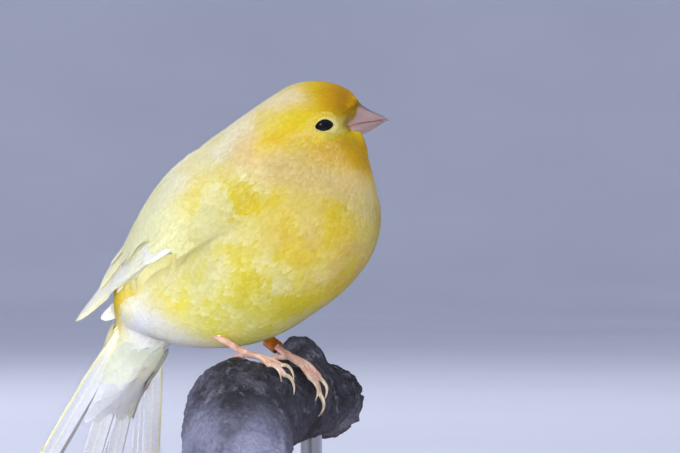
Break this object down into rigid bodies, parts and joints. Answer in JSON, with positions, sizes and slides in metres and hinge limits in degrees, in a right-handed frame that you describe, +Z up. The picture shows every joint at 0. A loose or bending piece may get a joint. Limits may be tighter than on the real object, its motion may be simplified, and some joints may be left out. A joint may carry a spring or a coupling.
{
  "type": "canary on a perch",
  "caption": "Life-size yellow canary with a leg band, perched on a short cut branch, held by a plain display stand.",
  "frame": {"origin": "middle of the underside of the stand's base, at floor level", "axes": "+X the way the body faces (the head is turned to the bird's left), +Y to the bird's left, +Z up"},
  "size_m": [0.1417, 0.124, 0.1294],
  "materials": {
    "feather_yellow": "soft, matte body feathers, golden yellow with pale tips",
    "feather_white": "soft, matte flight and tail feathers, cream white with pale yellow edges",
    "horn": "smooth pinkish horn, slightly satin",
    "eye": "glossy black",
    "leg_skin": "scaled pink skin, satin",
    "band": "glossy amber ring",
    "bark": "rough dark grey bark",
    "stand_wood": "smooth, satin-varnished wood",
    "stand_steel": "brushed steel rod"
  },
  "bodies": {
    "root": {"torso": "feather_yellow", "neck": "feather_yellow", "head": "feather_yellow", "wing_left": "feather_white", "wing_right": "feather_white", "tail": "feather_white", "bill_upper": "horn", "bill_lower": "horn", "eye_left": "eye", "eye_right": "eye", "leg_left": "leg_skin", "leg_right": "leg_skin", "claw_left_inner": "horn", "claw_left_middle": "horn", "claw_left_outer": "horn", "claw_left_hind": "horn", "claw_right_inner": "horn", "claw_right_middle": "horn", "claw_right_outer": "horn", "claw_right_hind": "horn", "leg_band": "band", "perch": "bark", "stand_base": "stand_wood", "stand_rod_middle": "stand_steel", "stand_rod_far": "stand_steel"}
  },
  "joints": []
}
